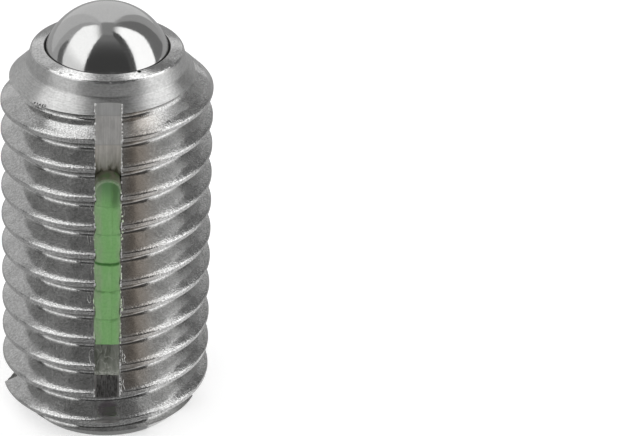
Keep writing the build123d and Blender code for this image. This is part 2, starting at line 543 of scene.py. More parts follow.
def cut_mesh(work, tools):
    """Applies boolean cuts, each an (operation, tool object), and removes their tools."""
    for operation, tool in tools:
        cut = work.modifiers.new(operation.title(), "BOOLEAN")
        cut.operation = operation
        cut.solver = "MANIFOLD"
        cut.object = tool
    bpy.context.view_layer.update()
    evaluated = work.evaluated_get(bpy.context.evaluated_depsgraph_get())
    cut_shape = bpy.data.meshes.new_from_object(evaluated)
    work.modifiers.clear()
    bm = bmesh.new()
    bm.from_mesh(cut_shape)
    for mesh in (cut_shape, work.data, *(tool.data for _, tool in tools)):
        bpy.data.meshes.remove(mesh)
    return bm


def add_shape(bm, added):
    """Adds a finished shape to a bmesh and frees it."""
    mesh = bpy.data.meshes.new("added")
    added.to_mesh(mesh)
    added.free()
    bm.from_mesh(mesh)
    bpy.data.meshes.remove(mesh)


def wound_spring(spring):
    """Round wire wound right-handed: open turns between two closed ones, both ends ground flat."""
    bm = bmesh.new()
    wire = spring.wire_diameter / 2
    end_pitch = spring.wire_diameter + spring.end_turn_gap
    open_pitch = (SPRING_TOP - BORE_FLOOR - 2 * end_pitch) / spring.open_turns
    bmesh.ops.create_circle(bm, cap_ends=False, segments=18, radius=wire)
    turn(bm, pi / 2, "X")
    bmesh.ops.translate(bm, vec=(SPRING_OUTER_RADIUS - wire, 0, BORE_FLOOR), verts=bm.verts)
    steps = 48
    ring = bm.verts[:] + bm.edges[:]
    for pitch, turns in ((end_pitch, 1), (open_pitch, spring.open_turns), (end_pitch, 1)):
        ring = spin(bm, ring, steps, turns, rise=pitch / steps)
    for height, outward in ((BORE_FLOOR, -1), (SPRING_TOP, 1)):
        trim(bm, height, outward, dist=1e-5)
    bmesh.ops.holes_fill(bm, edges=[edge for edge in bm.edges if edge.is_boundary], sides=0)
    face_outward(bm)
    return bm


def crest_height(thread, angle):
    """Height of the lowest ridge's crest at an angle round the axis."""
    return thread.pitch * (((angle - thread.phase) / (2 * pi) + 0.5) % 1)


def from_nearest(value, first, spacing):
    """Distance from the nearest of evenly spaced places."""
    past = (value - first) % spacing
    return min(past, spacing - past)


def thread_radius(thread, angle, height):
    """Radius of the thread's surface at an angle and a height."""
    from_crest = from_nearest(height, crest_height(thread, angle), thread.pitch)
    drop = max(0, from_crest - thread.crest_flat / 2) / tan(thread.flank_angle / 2)
    return CREST_RADIUS - min(drop, CREST_RADIUS - THREAD_ROOT)


def locking_strip(strip, cuts, thread):
    """The plastic that fills the groove: rounded at its top, swollen where the thread is low."""
    bm = bmesh.new()
    half = cuts.groove_width / 2
    ridge = crest_height(thread, cuts.groove_angle)
    # Below the crests, so that its waves stay inside them
    sunk, wave_height = 0.03, 0.015
    left_edge_seed, right_edge_seed, wave_seed = 9, 4, 3
    bmesh.ops.create_grid(bm, x_segments=30, y_segments=250, size=0.5)
    for vert in bm.verts:
        side = sin(vert.co.x * pi)
        along = STRIP_BOTTOM + (vert.co.y + 0.5) * (STRIP_TOP - STRIP_BOTTOM)
        valley = 0.5 - 0.5 * cos(2 * pi * (along - ridge) / thread.pitch)
        seed, pull = (
            (right_edge_seed, strip.pull_right) if side > 0 else (left_edge_seed, strip.pull_left)
        )
        ragged = noise.noise((seed, 0, along * 2.4)) * strip.raggedness
        reach = half - pull + strip.swell * valley + ragged
        over = max(0, along - (STRIP_TOP - half)) / half
        rounded = sqrt(max(0, 1 - over**2))
        across = side * reach * rounded
        # Rounded along its edges and a little sunk at the tip, with a press line in each turn
        from_edge = min((1 - abs(side)) * reach * rounded, (1 - over) * half)
        from_edge = min(1, from_edge / strip.edge_rounding)
        edge_drop = strip.edge_rounding * (1 + 0.6 * valley) * (1 - sqrt(1 - (1 - from_edge) ** 2))
        bowed = along - strip.line_bow * across**2 / half
        from_line = from_nearest(bowed, ridge - strip.line_drop, thread.pitch)
        pressed = strip.line_depth * max(0, 1 - from_line / strip.line_width) ** 2
        waves = noise.noise((across * 1.5, wave_seed, along * 0.9)) * wave_height
        radius = CREST_RADIUS - sunk - edge_drop - pressed + waves
        vert.co = (sqrt(radius**2 - across**2), across, along)
    bmesh.ops.remove_doubles(bm, verts=bm.verts, dist=1e-4)
    for vert in verts_of(bmesh.ops.extrude_face_region(bm, geom=bm.faces[:])):
        vert.co.x = cuts.groove_floor
    crumb_depth = 0.05
    for seed, (height, across, length, thickness) in enumerate(STRIP_CRUMBS):
        out = sqrt(CREST_RADIUS**2 - across**2) - crumb_depth
        add_lump(bm, (out, across, height), (thickness, thickness, length), seed, PALE)
    keep_inside(bm)
    turn(bm, cuts.groove_angle)
    face_outward(bm)
    return bm


def keep_inside(bm):
    """Brings vertices that reach past the thread's crests back to them."""
    for vert in bm.verts:
        shrink = min(1, CREST_RADIUS * INSIDE / vert.co.xy.length)
        vert.co.x *= shrink
        vert.co.y *= shrink


def add_lump(bm, place, size, seed, material, along=(0, 0, 1)):
    """A small irregular lump of burr or plastic.

    Its size is its three half lengths, and along is the way its last one points.
    """
    verts = bmesh.ops.create_icosphere(bm, subdivisions=2, radius=1)["verts"]
    for vert in verts:
        vert.co *= 1 + 0.6 * noise.noise(vert.co * 1.4 + Vector((seed * 3.7, 0, 0)))
    turned = Vector((0, 0, 1)).rotation_difference(Vector(along)).to_matrix().to_4x4()
    placed = Matrix.Translation(place) @ turned @ Matrix.Diagonal((*size, 1))
    bmesh.ops.transform(bm, matrix=placed, verts=verts)
    for face in {face for vert in verts for face in vert.link_faces}:
        face.material_index = material


def smeared_film(cuts):
    """Plastic smeared thin on the groove's floor, from under the strip to a ragged end."""
    bm = bmesh.new()
    top = STRIP_BOTTOM + 0.1
    side_gap, film_depth, raggedness = 0.02, 0.16, 0.09
    thin, fold_height, end_height = 0.03, 0.035, 0.03
    end_middle, end_reach = SMEAR_END + 0.06, 0.08
    end_seed, fold_seed = 11, 20
    bmesh.ops.create_grid(bm, x_segments=40, y_segments=70, size=0.5)
    for vert in bm.verts:
        across = vert.co.x * (cuts.groove_width - side_gap)
        ragged = raggedness * noise.noise((across * 5, end_seed, 0)) * (0.5 - vert.co.y)
        along = SMEAR_END + (vert.co.y + 0.5) * (top - SMEAR_END) + ragged
        # The floor rises with the disc cutter's rim
        below = max(0, cuts.groove_start - along)
        rise = cuts.disc_radius - sqrt(cuts.disc_radius**2 - below**2)
        fold = max(0, 1 - abs(noise.noise((across * 2.6, fold_seed, along * 1.1))) * 11)
        thick_end = max(0, 1 - abs(along - end_middle) / end_reach)
        film = thin + fold_height * fold + end_height * thick_end
        vert.co = (cuts.groove_floor + rise + film, across, along)
    for vert in verts_of(bmesh.ops.extrude_face_region(bm, geom=bm.faces[:])):
        vert.co.x -= film_depth
    set_finish(bm, SMEAR)
    turn(bm, cuts.groove_angle)
    face_outward(bm)
    return bm


def groove_burrs(cuts, thread, blank):
    """Burr that the disc cutter pushed up along the groove, most on the right and near the nose."""
    bm = bmesh.new()
    draw = Random(7)
    neck_base = BODY_LENGTH - blank.neck_height
    off_edge, sunk, below_neck, deepest_burr = 0.005, 0.005, 0.35, 3.9
    for side, spacing in ((-1, 0.17), (1, 0.09)):
        edge = side * (cuts.groove_width / 2 + off_edge)
        angle = cuts.groove_angle + asin(edge / CREST_RADIUS)
        height = cuts.groove_start / 2
        while height < neck_base - below_neck:
            cone = blank.neck_base_radius + neck_base - height
            radius = min(thread_radius(thread, angle, height), cone)
            height += draw.uniform(0.4, 1.6) * spacing
            # Beside and below the strip, burr stands where there is much metal to push: more at the
            # ridges than between them
            sparse = height < STRIP_TOP and (side < 0 or height > STRIP_BOTTOM)
            if draw.random() > ((radius - deepest_burr) * 0.9 if sparse else 1.0):
                continue
            size = (draw.uniform(0.02, 0.045), draw.uniform(0.02, 0.045), draw.uniform(0.03, 0.09))
            out = sqrt(radius**2 - edge**2) - sunk
            place = (out, edge + draw.uniform(-0.02, 0.02), height)
            add_lump(bm, place, size, draw.uniform(0, 50), BURR)
    for fringe in FRINGES:
        points = []
        for height, across in fringe:
            radius = thread_radius(thread, cuts.groove_angle + asin(across / CREST_RADIUS), height)
            points.append(Vector((sqrt(radius**2 - across**2), across, height)))
        for first, last in zip(points, points[1:]):
            half_length = (last - first).length * 0.6
            size = (draw.uniform(0.012, 0.02), draw.uniform(0.012, 0.02), half_length)
            add_lump(bm, (first + last) / 2, size, draw.uniform(0, 50), BURR, last - first)
    turn(bm, cuts.groove_angle)
    for place in CONE_BURRS:
        size = (draw.uniform(0.025, 0.05), draw.uniform(0.025, 0.05), draw.uniform(0.03, 0.07))
        add_lump(bm, place, size, draw.uniform(0, 50), BURR)
    keep_inside(bm)
    face_outward(bm)
    return bm


# Finishes. Their lengths are in millimetres


class Number:
    """A number that a recipe's nodes work out, for plain sums in it."""

    def __init__(self, recipe, socket):
        self.recipe = recipe
        self.socket = socket

    def __add__(self, other):
        return self.recipe.math("ADD", self, other)

    def __sub__(self, other):
        return self.recipe.math("SUBTRACT", self, other)

    def __rsub__(self, other):
        return self.recipe.math("SUBTRACT", other, self)

    def __mul__(self, other):
        return self.recipe.math("MULTIPLY", self, other)

    def __truediv__(self, other):
        return self.recipe.math("DIVIDE", self, other)

    def __abs__(self):
        return self.recipe.math("ABSOLUTE", self)

    def ramp(self, start, end, low=0.0, high=1.0, smooth=True):
        """Low before the start, high after the end."""
        kind = "SMOOTHSTEP" if smooth else "LINEAR"
        made = self.recipe.node("ShaderNodeMapRange", interpolation_type=kind)
        for value, socket in zip((self, start, end, low, high), made.inputs):
            self.recipe.put(value, socket)
        return Number(self.recipe, made.outputs[0])

    def fall(self, start, end, high=1.0):
        """High before the start, 0 after the end."""
        return self.ramp(start, end, high, 0.0)

    def mix(self, first, second):
        """The first colour where the number is 0, the second where it is 1."""
        made = self.recipe.node("ShaderNodeMix", data_type="RGBA")
        self.recipe.put(self, made.inputs["Factor"])
        colours = [entry for entry in made.inputs if entry.type == "RGBA"]
        for value, socket in zip((first, second), colours):
            self.recipe.put(value, socket)
        return [entry for entry in made.outputs if entry.type == "RGBA"][0]


class Recipe:
    """A node tree under construction."""

    def __init__(self, tree):
        self.tree = tree

    def node(self, kind, **settings):
        made = self.tree.nodes.new(kind)
        for name, value in settings.items():
            setattr(made, name, value)
        return made

    def put(self, value, socket):
        """Links an output to a socket, or sets a plain value on it."""
        if isinstance(value, Number):
            value = value.socket
        if isinstance(value, bpy.types.NodeSocket):
            self.tree.links.new(value, socket)
        else:
            socket.default_value = (*value, 1) if socket.type == "RGBA" else value

    def math(self, operation, first, second=0.0):
        made = self.node("ShaderNodeMath", operation=operation)
        for value, socket in zip((first, second), made.inputs):
            self.put(value, socket)
        return Number(self, made.outputs[0])

    def split(self, place):
        """A place's parts along X, Y and Z."""
        parts = self.node("ShaderNodeSeparateXYZ")
        self.put(place, parts.inputs[0])
        return [Number(self, part) for part in parts.outputs]

    def shown_to_eye(self):
        """1 where the camera looks, straight, by reflection or through glass; 0 for other light."""
        path = self.node("ShaderNodeLightPath")
        seen = Number(self, path.outputs["Is Camera Ray"])
        for ray in ("Is Glossy Ray", "Is Transmission Ray"):
            seen = self.math("MAXIMUM", seen, path.outputs[ray])
        return seen


class Finish(Recipe):
    """A material under construction: its nodes, and the colour and bumps that it has so far."""

    sockets = {
        "colour": "Base Color", "metallic": "Metallic", "roughness": "Roughness",
        "normal": "Normal", "tangent": "Tangent", "anisotropic": "Anisotropic",
        "turn": "Anisotropic Rotation",
    }

    def __init__(self, name):
        self.material = bpy.data.materials.new(name)
        self.material.use_nodes = True
        super().__init__(self.material.node_tree)
        place = self.node("ShaderNodeTexCoord")
        self.place = self.vector("SCALE", place.outputs["Object"], scale=MM)
        self.colour = None
        self.normal = None

    def vector(self, operation, first, second=None, scale=None):
        made = self.node("ShaderNodeVectorMath", operation=operation)
        self.put(first, made.inputs[0])
        if second is not None:
            self.put(second, made.inputs[1])
        if scale is not None:
            made.inputs["Scale"].default_value = scale
        return made.outputs["Vector"]

    def length(self, first):
        made = self.node("ShaderNodeVectorMath", operation="LENGTH")
        self.put(first, made.inputs[0])
        return Number(self, made.outputs["Value"])

    def stretched(self, along, across=1):
        """The place scaled along the axis and across it, which draws a noise out."""
        return self.vector("MULTIPLY", self.place, (across, across, along))

    def from_axis(self):
        """Distance from the plunger's axis."""
        return self.length(self.stretched(0))

    def streaks(self, climb):
        """The place moved out to a cylinder, so that a noise runs straight down into the thread."""
        outward = self.vector("NORMALIZE", self.stretched(0))
        height = self.stretched(climb, across=0)
        return self.vector("ADD", self.vector("SCALE", outward, scale=CREST_RADIUS), height)

    def noise(self, scale, detail=2.0, roughness=0.5, place=None):
        made = self.node("ShaderNodeTexNoise")
        self.put(place or self.place, made.inputs["Vector"])
        for value, name in ((scale, "Scale"), (detail, "Detail"), (roughness, "Roughness")):
            self.put(value, made.inputs[name])
        return Number(self, made.outputs["Fac"])

    def near(self, point, reach):
        """1 at a point, falling to 0 over a distance."""
        away = self.length(self.vector("SUBTRACT", self.place, point))
        return away.fall(reach * 0.5, reach)

    def round_the_axis(self):
        """The direction round the axis, in which a lathe tool marks the steel."""
        turned = self.node(
            "ShaderNodeVectorTransform", vector_type="VECTOR", convert_from="OBJECT",
            convert_to="WORLD",
        )
        self.put(self.vector("CROSS_PRODUCT", (0, 0, 1), self.place), turned.inputs[0])
        return turned.outputs[0]

    def paint(self, share, shade):
        """Mixes a share of a colour into the finish's colour."""
        self.colour = share.mix(self.colour, shade)

    def bump(self, height, depth):
        """Raises the surface, on top of its other bumps, by up to a depth where the height is 1."""
        made = self.node("ShaderNodeBump")
        made.inputs["Distance"].default_value = depth / MM
        self.put(height, made.inputs["Height"])
        if self.normal is not None:
            self.put(self.normal, made.inputs["Normal"])
        self.normal = made.outputs[0]

    def made(self, **values):
        """The material, with its colour, its bumps and the values given put on its shader."""
        shader = self.tree.nodes["Principled BSDF"]
        for name, value in {"colour": self.colour, "normal": self.normal, **values}.items():
            self.put(value, shader.inputs[self.sockets[name]])
        return self.material


def grey(level):
    """A steel's grey, a trace warmer than neutral."""
    return (level, level, level - 0.005)


def thread_steel(colours):
    """Rolled thread: cloudy flanks with a fine grain, and crests burnished in short streaks."""
    steel = Finish("thread_steel")
    radius = steel.from_axis()
    x, y, height = steel.split(steel.place)
    cloud = steel.noise(1.3, 4, 0.6)
    fine = steel.noise(8, 3, 0.7)
    grain = steel.noise(13, 1, 0.5)
    speckle = steel.noise(19, 2, 0.7)
    hatch = steel.noise(11, 2, 0.6, steel.streaks(0.25))
    # The far left is smoother and less speckled
    speckled = x.ramp(-3.9, -2.9, 0.4, 1.0)
    crest = radius.ramp(CREST_RADIUS - 0.4, CREST_RADIUS - 0.05) * speckled
    steel.bump(hatch * crest, 0.004)
    steel.bump(grain * crest, 0.008)
    steel.bump(fine, 0.0014)
    # The flanks to the right are duller, and painted darker as shade
    dull = x.ramp(1.5, 3.5, 0.0, 0.14) * y.fall(-1.5, 0.0)
    dull = dull * radius.fall(CREST_RADIUS - 0.45, CREST_RADIUS - 0.3)
    worn = radius.ramp(CREST_RADIUS - 0.3, CREST_RADIUS - 0.05, 0.0, 0.04)
    tone = (cloud * 0.35 + fine * 0.65).ramp(0.37, 0.63, smooth=False)
    steel.colour = tone.mix(colours.thread_dark, colours.thread_light)
    steel.paint(speckle.fall(0.36, 0.5, 0.5) * speckled, grey(0.2))
    steel.paint(speckle.ramp(0.52, 0.66, 0.0, 0.6) * speckled, grey(0.95))
    # Painted shade: the flanks to the right are painted darker
    steel.paint(dull * 2.5, grey(0.36))
    # A brownish bloom to the right of the groove
    bloom = x.ramp(0.4, 1.3) * x.fall(1.3, 2.9)
    bloom = bloom * y.fall(-4.0, -3.0, 0.65) * height.ramp(2.6, 4.5)
    steel.paint(bloom, (0.47, 0.42, 0.37))
    # Painted shade on the flank just under the groove
    steel.paint(steel.near(PAINTED_SHADE_UNDER_GROOVE, 0.62) * 0.85, (0.25, 0.21, 0.24))
    return steel.made(metallic=1.0, roughness=cloud.ramp(0.3, 0.7, 0.1, 0.2) + worn + dull)


def turned_steel(colours):
    """Lathe-turned cones, neck and lip with fine rings, and a few nicks along the lip."""
    steel = Finish("turned_steel")
    radius = steel.from_axis()
    height = steel.split(steel.place)[2]
    # Counts along the cones and down the neck alike
    rings = steel.node("ShaderNodeCombineXYZ")
    steel.put(height + radius * -0.7, rings.inputs[0])
    steel.put(steel.noise(0.6, 2), rings.inputs[1])
    marks = steel.noise(13, 4, 0.75, rings.outputs[0])
    fine = steel.noise(9, 3, 0.6)
    cloud = steel.noise(1.6, 3, 0.6)
    lip = height.ramp(BODY_LENGTH - 0.17, BODY_LENGTH - 0.1)
    nicks = steel.noise(5, 2, 0.6).ramp(0.66, 0.7) * lip
    for nick in LIP_NICKS:
        nicks = steel.math("MAXIMUM", nicks, steel.near(nick, 0.1))
    steel.bump(fine, 0.0025)
    steel.bump(marks, 0.006)
    steel.bump(1.0 - nicks, 0.04)
    # The lip catches the light as if it sloped a little more than it does
    pressed = radius.ramp(LIP_INNER_RADIUS, LIP_OUTER_RADIUS, 1.0, 0.0, smooth=False)
    pressed = pressed * height.ramp(BODY_LENGTH - 0.5, BODY_LENGTH - 0.4)
    steel.bump(pressed, 0.38 * (LIP_OUTER_RADIUS - LIP_INNER_RADIUS))
    tone = (marks * 0.6 + fine * 0.4).ramp(0.36, 0.64)
    steel.colour = tone.mix(colours.turned_dark, colours.turned_light)
    # Painted highlight: the lip's top is painted paler
    steel.paint(lip * fine.ramp(0.35, 0.65, 0.25, 0.6), grey(0.9))
    steel.paint(steel.near(LIP_SPOT, 0.12), (0.01, 0.01, 0.01))
    # Painted shade: the cone is darkened in the nooks between its burrs
    for left, right in zip(CONE_BURR_ROW, CONE_BURR_ROW[1:]):
        steel.paint(steel.near((Vector(left) + Vector(right)) / 2, 0.09), (0.1, 0.1, 0.1))
    return steel.made(
        metallic=1.0, roughness=cloud.ramp(0.3, 0.7, 0.3, 0.38) - lip * 0.2,
        tangent=steel.round_the_axis(), anisotropic=0.35, turn=0.25,
    )


def milled_steel():
    """The groove and the driver slot, with the cutter's lines along them.

    Just over the strip's tip the floor is darker, and at the groove's lower end it is stained dark.
    """
    steel = Finish("milled_steel")
    x, _, height = steel.split(steel.place)
    lines = steel.noise(12, 3, 0.7, steel.stretched(0.03))
    blotches = steel.noise(1.5, 3)
    wander = height + (steel.noise(4, 2) - 0.5) * 0.24
    bare = lines.mix((0.5, 0.49, 0.47), (0.62, 0.61, 0.6))
    patches = steel.noise(3.2, 3, 0.65, steel.stretched(0.4)).ramp(0.32, 0.68)
    streaks = patches * 0.4 + lines.ramp(0.3, 0.7) * 0.6
    warm = streaks.mix((0.68, 0.65, 0.61), (0.99, 0.96, 0.92))
    cool = streaks.mix((0.6, 0.6, 0.6), (0.9, 0.9, 0.9))
    lower, upper = [(step - FLOOR_STEP_REACH, step + FLOOR_STEP_REACH) for step in FLOOR_STEPS]
    steel.colour = height.ramp(*lower, 0.0, 0.6).mix(warm, cool)
    steel.paint(height.ramp(*upper, 0.0, 0.5), (0.6, 0.61, 0.61))
    for step in FLOOR_STEPS:
        steel.paint(abs(height - step).fall(0.01, 0.06, 0.3) * streaks, (0.3, 0.3, 0.29))
    # The bright floor is the upper part of the groove
    clean = height.ramp(6, 10)
    steel.colour = clean.mix(bare, steel.colour)
    drift = wander + patches * 0.5
    darkest_below, stain_bottom, stain_top, stain_middle = 14.6, 1.9, 5.0, 0.07
    # The floor darkens just over the strip's tip
    steel.paint(clean * drift.fall(darkest_below, darkest_below + 0.75, 0.75), (0.34, 0.32, 0.25))
    steel.paint(clean * drift.fall(darkest_below, darkest_below + 0.4, 0.8), (0.13, 0.13, 0.09))
    stained = abs(x - stain_middle).ramp(0.46, 0.54, 1.0, 0.35)
    stained = stained * wander.ramp(stain_bottom, stain_bottom + 0.1)
    stained = stained * wander.fall(stain_top, stain_top + 0.2)
    stain = lines.ramp(0.35, 0.65).mix((0.09, 0.088, 0.085), (0.24, 0.235, 0.23))
    steel.paint(stained, stain)
    steel.bump(lines, 0.012)
    return steel.made(metallic=1.0, roughness=blotches.ramp(0.3, 0.7, 0.3, 0.42) + clean * 0.15)


def smeared_plastic():
    """A thin grey-green film of the strip's plastic, paler in its folds and its ragged end."""
    plastic = Finish("smeared_plastic")
    x, _, height = plastic.split(plastic.place)
    film = plastic.noise(4, 3, 0.6, plastic.stretched(0.4))
    fine = plastic.noise(11, 3, 0.7)
    plastic.colour = film.ramp(0.35, 0.65).mix((0.12, 0.13, 0.105), (0.21, 0.22, 0.19))
    # Greener near the strip, and paler at the right
    plastic.paint(height.ramp(5.0, 5.6) * 0.5, (0.1, 0.16, 0.085))
    plastic.paint(x.ramp(0.35, 0.6, 0.0, 0.6), (0.33, 0.34, 0.3))
    contour = plastic.noise(2.6, 1, place=plastic.stretched(0.45))
    fold = abs(contour - 0.5).fall(0.0, 0.025, 0.8) * fine.ramp(0.35, 0.6)
    end = height.fall(SMEAR_END + 0.13, SMEAR_END + 0.26, 0.9) * fine.ramp(0.4, 0.6)
    plastic.paint(plastic.math("MAXIMUM", fold, end), (0.38, 0.39, 0.35))
    plastic.bump(fine, 0.008)
    return plastic.made(roughness=film.ramp(0.3, 0.7, 0.25, 0.45))


def torn_steel():
    """The grainy break where a chip is missing, painted dark as shade."""
    steel = Finish("torn_steel")
    grains = steel.noise(9, 3, 0.7)
    steel.colour = grains.ramp(0.35, 0.65).mix((0.07, 0.07, 0.068), (0.3, 0.3, 0.29))
    steel.bump(grains, 0.05)
    return steel.made(metallic=1.0, roughness=grains.ramp(0.3, 0.7, 0.35, 0.55))


def burr_steel():
    """Torn burr: bright fresh metal, painted paler still as a highlight."""
    steel = Finish("burr_steel")
    grains = steel.noise(11, 2, 0.6)
    steel.colour = grains.mix((0.72, 0.72, 0.71), (0.96, 0.96, 0.95))
    steel.bump(grains, 0.012)
    return steel.made(metallic=0.7, roughness=grains.ramp(0.3, 0.7, 0.25, 0.4))


def bore_steel():
    """The drilled bore and the gap round the ball, dull and dark with old oil."""
    steel = Finish("bore_steel")
    rings = steel.noise(9, 2, place=steel.stretched(1, across=0.1))
    steel.colour = rings.mix((0.05, 0.05, 0.048), (0.14, 0.14, 0.135))
    steel.bump(rings, 0.01)
    return steel.made(metallic=1.0, roughness=rings.ramp(0.3, 0.7, 0.35, 0.55))


def polished_steel(colours):
    """The hardened ball, nearly a mirror."""
    steel = Finish("polished_steel")
    haze = steel.noise(1.1, 3)
    specks = steel.noise(26, 2, 0.6)
    steel.colour = specks.ramp(0.35, 0.8).mix(colours.ball_dark, colours.ball_light)
    steel.bump(steel.noise(4, 3, 0.6), 0.0022)
    steel.bump(specks, 0.0006)
    return steel.made(metallic=1.0, roughness=haze.ramp(0.3, 0.7, 0.075, 0.12))


def spring_steel(colours):
    """Drawn spring wire, a little oiled."""
    steel = Finish("spring_wire")
    drawn = steel.noise(8, 3, place=steel.stretched(0.2))
    steel.colour = drawn.mix(colours.spring_dark, colours.spring_light)
    steel.bump(drawn, 0.004)
    return steel.made(metallic=1.0, roughness=drawn.ramp(0.3, 0.7, 0.25, 0.4))


def green_plastic(colours, thread, cuts, strip):
    """The strip's plastic: green in the middle, milky at its edges, dark where the tip is thin."""
    plastic = Finish("green_plastic")
    # Places across the strip and up it
    greenest, seam_place, darkest = 0.08, 0.19, 0.3
    strongest_line, last_line, thin_from = 10.18, 12.2, 12.9
    x, y, height = plastic.split(plastic.place)
    # Distance from the groove's middle, to the right
    across = x * -sin(cuts.groove_angle) + y * cos(cuts.groove_angle)
    cloud = plastic.noise(2.2, 3, 0.6)
    fine = plastic.noise(9, 3, 0.7)
    drawn = plastic.noise(6, 3, 0.6, plastic.stretched(0.12))
    wander = (plastic.noise(2.6, 2, place=plastic.stretched(0.5)) - 0.5) * 0.3
    milky = (abs(across - greenest) + wander).ramp(0.26, 0.5)
    plastic.colour = milky.mix(colours.strip_middle, colours.strip_edges)
    plastic.paint(cloud.ramp(0.35, 0.65) * 0.5, (0.2, 0.39, 0.155))
    plastic.paint(fine.fall(0.35, 0.6) * 0.45, (0.12, 0.27, 0.09))
    plastic.paint(drawn.ramp(0.5, 0.68, 0.0, 0.4), (0.25, 0.42, 0.2))
    # The tip, thin enough for the dark floor to show through, darkest on the right
    thin = (height + across * 0.35).ramp(thin_from, thin_from + 1.6)
    deep = abs(across - darkest).fall(0.04, 0.26) * height.ramp(thin_from, thin_from + 0.7)
    plastic.paint(thin, milky.mix((0.075, 0.175, 0.065), (0.115, 0.165, 0.1)))
    plastic.paint(deep * 0.75, (0.045, 0.11, 0.03))
    # A pale rim round the tip and down the edges: partly the milky plastic, partly a painted
    # highlight
    below_centre = (STRIP_TOP - cuts.groove_width / 2) - height
    past_centre = plastic.math("MINIMUM", below_centre, 0.0)
    to_edge = plastic.math("SQRT", across * across + past_centre * past_centre)
    rim = to_edge.ramp(0.5, 0.57) * fine.ramp(0.3, 0.6, 0.2, 0.8)
    plastic.paint(rim * height.ramp(14.05, 14.3, 0.3, 1.0), (0.24, 0.3, 0.2))
    # Darker green in the press lines, most in the one at mid-height, none near the tip
    bow = across * across * (2 * strip.line_bow / cuts.groove_width)
    lowest_line = crest_height(thread, cuts.groove_angle) - strip.line_drop
    turns = (height - bow - lowest_line) / thread.pitch + (cloud - 0.5) * 0.1
    off_line = plastic.math("FRACT", turns + 0.5) - 0.5
    broken = plastic.noise(2.4, 1, place=plastic.stretched(0.7)).ramp(0.4, 0.62, 0.05, 0.42)
    strongest = abs(height - strongest_line).fall(0.3, 0.7, 0.95)
    line = abs(off_line).fall(0.02, 0.085) * plastic.math("MAXIMUM", broken, strongest)
    plastic.paint(line * height.fall(last_line, last_line + 0.6), (0.02, 0.11, 0.01))
    seam = abs(across - seam_place).fall(0.01, 0.05, 0.4) * cloud.ramp(0.4, 0.6)
    plastic.paint(seam, (0.1, 0.26, 0.06))
    # The ends and sides, which stand in the groove's shade
    shaded = plastic.from_axis().fall(CREST_RADIUS - 0.3, CREST_RADIUS - 0.16)
    plastic.paint(shaded, cloud.ramp(0.4, 0.6).mix((0.15, 0.145, 0.11), (0.1, 0.16, 0.07)))
    plastic.bump(cloud, 0.02)
    plastic.bump(fine, 0.006)
    return plastic.made(roughness=cloud.ramp(0.3, 0.7, 0.3, 0.45))


def pale_plastic():
    """Crumbs of the plastic rubbed pale along the strip's edges."""
    plastic = Finish("pale_plastic")
    specks = plastic.noise(14, 2)
    plastic.colour = specks.ramp(0.35, 0.65).mix((0.26, 0.34, 0.21), (0.7, 0.78, 0.62))
    plastic.bump(specks, 0.01)
    return plastic.made(roughness=specks.ramp(0.3, 0.7, 0.25, 0.5))


# Operators


class PLUNGER_OT_body(bpy.types.Operator):
    """Models the threaded body: thread, cones, neck, lip, bore, driver slot and groove"""

    bl_idname = "plunger.body"
    bl_label = "Threaded body"

    def execute(self, context):
        groups = ("thread", "cuts", "blank", "colours")
        thread, cuts, blank, colours = settings_of(context.scene, *groups)
        rod = new_object(threaded_rod(thread), "rod")
        tools = [
            ("INTERSECT", new_object(turned_blank(blank, thread), "blank")),
            ("DIFFERENCE", new_object(groove_cutter(cuts), "groove")),
            ("DIFFERENCE", new_object(slot_cutter(cuts), "slot")),
            ("DIFFERENCE", new_object(chip_cutter(), "chip")),
        ]
        finishes = [
            thread_steel(colours), turned_steel(colours), bore_steel(), milled_steel(),
            burr_steel(), smeared_plastic(), torn_steel(),
        ]
        for shape in (rod, *(tool for _, tool in tools)):
            for finish in finishes:
                shape.data.materials.append(finish)
        bm = cut_mesh(rod, tools)
        add_shape(bm, groove_burrs(cuts, thread, blank))
        add_shape(bm, smeared_film(cuts))
        body = finish_mesh(bm, "plunger_body", finishes)
        even = body.modifiers.new("Even shading", "WEIGHTED_NORMAL")
        even.keep_sharp = True
        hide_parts("threaded_body")
        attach(body, "housing")
        return {"FINISHED"}


class PLUNGER_OT_ball(bpy.types.Operator):
    """Models the polished ball"""

    bl_idname = "plunger.ball"
    bl_label = "Ball"

    def execute(self, context):
        bm = bmesh.new()
        bmesh.ops.create_icosphere(bm, subdivisions=6, radius=BALL_RADIUS)
        for vert in bm.verts:
            vert.co = vert.co.normalized() * BALL_RADIUS * INSIDE
        bmesh.ops.translate(bm, vec=(0, 0, BALL_HEIGHT), verts=bm.verts)
        colours = in_millimetres(context.scene.plunger_colours)
        ball = finish_mesh(bm, "plunger_ball", [polished_steel(colours)])
        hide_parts("ball")
        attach(ball, "ball")
        return {"FINISHED"}


class PLUNGER_OT_spring(bpy.types.Operator):
    """Models the compression spring inside the bore"""

    bl_idname = "plunger.spring"
    bl_label = "Spring"

    def execute(self, context):
        sizes, colours = settings_of(context.scene, "spring", "colours")
        spring = finish_mesh(wound_spring(sizes), "plunger_spring", [spring_steel(colours)])
        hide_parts("spring")
        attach(spring, "housing")
        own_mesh(spring)
        return {"FINISHED"}


class PLUNGER_OT_strip(bpy.types.Operator):
    """Models the thread-locking strip in the groove"""

    bl_idname = "plunger.strip"
    bl_label = "Thread-locking strip"

    def execute(self, context):
        groups = ("thread", "cuts", "strip", "colours")
        thread, cuts, surface, colours = settings_of(context.scene, *groups)
        bm = locking_strip(surface, cuts, thread)
        finishes = [green_plastic(colours, thread, cuts, surface), pale_plastic()]
        strip = finish_mesh(bm, "plunger_strip", finishes)
        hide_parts("thread_lock_strip")
        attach(strip, "housing")
        return {"FINISHED"}


class PLUNGER_OT_stage(bpy.types.Operator):
    """Sets up the camera, the floor, the side panels and the dark flags"""

    bl_idname = "plunger.stage"
    bl_label = "Stage"

    def execute(self, context):
        place_camera(context.scene, context.scene.plunger_stage)
        light_studio(context.scene)
        return {"FINISHED"}


